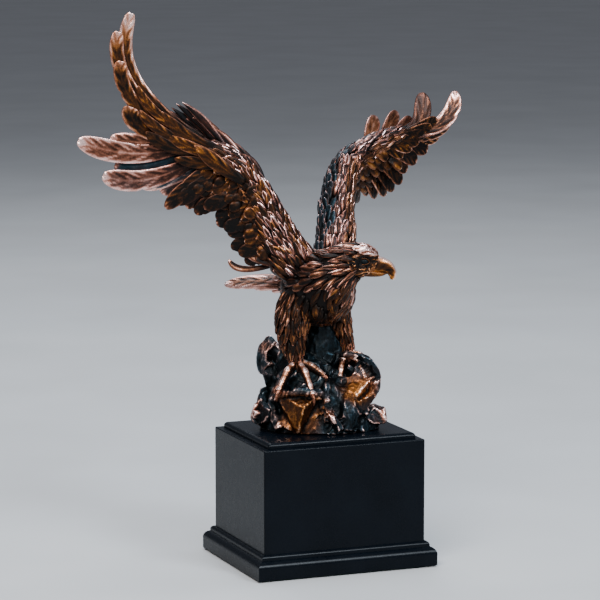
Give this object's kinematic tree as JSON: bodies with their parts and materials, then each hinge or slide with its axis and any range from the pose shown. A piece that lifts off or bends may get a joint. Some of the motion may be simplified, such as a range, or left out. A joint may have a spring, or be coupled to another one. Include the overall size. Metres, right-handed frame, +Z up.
{
  "type": "eagle statuette",
  "caption": "Cast bronze-look eagle landing with raised wings on a craggy rock, bolted to a black wooden plinth with a stepped top, moulded foot and felt underside.",
  "frame": {"origin": "centre of the base's underside, on the felt", "axes": "+Z up from the underside, -Y towards the base's wide front face, +X to that face's right"},
  "size_m": [0.2839, 0.1443, 0.3646],
  "materials": {
    "bronze": "antiqued copper-bronze patina, dark in the hollows and bright on the raised edges",
    "black_lacquered_wood": "satin black lacquer",
    "bare_wood": "unfinished",
    "steel": "zinc plated",
    "brass_insert": "machined",
    "felt": "green-black felt"
  },
  "bodies": {
    "root": {"body_casting": "bronze", "right_wing_casting": "bronze", "left_wing_casting": "bronze", "tail_casting": "bronze", "right_foot_casting": "bronze", "left_foot_casting": "bronze", "rock_casting": "bronze", "right_wing_dowels": "steel", "left_wing_dowels": "steel", "tail_dowel": "steel", "leg_rods": "steel", "rock_inserts": "brass_insert", "mounting_bolts": "steel", "mounting_washers": "steel", "cap_board": "black_lacquered_wood", "front_wall": "black_lacquered_wood", "back_wall": "black_lacquered_wood", "left_wall": "black_lacquered_wood", "right_wall": "black_lacquered_wood", "plinth_front": "black_lacquered_wood", "plinth_right": "black_lacquered_wood", "plinth_back": "black_lacquered_wood", "plinth_left": "black_lacquered_wood", "corner_blocks": "bare_wood", "bottom_board": "bare_wood", "bottom_board_screws": "steel", "felt_pad": "felt"}
  },
  "joints": []
}
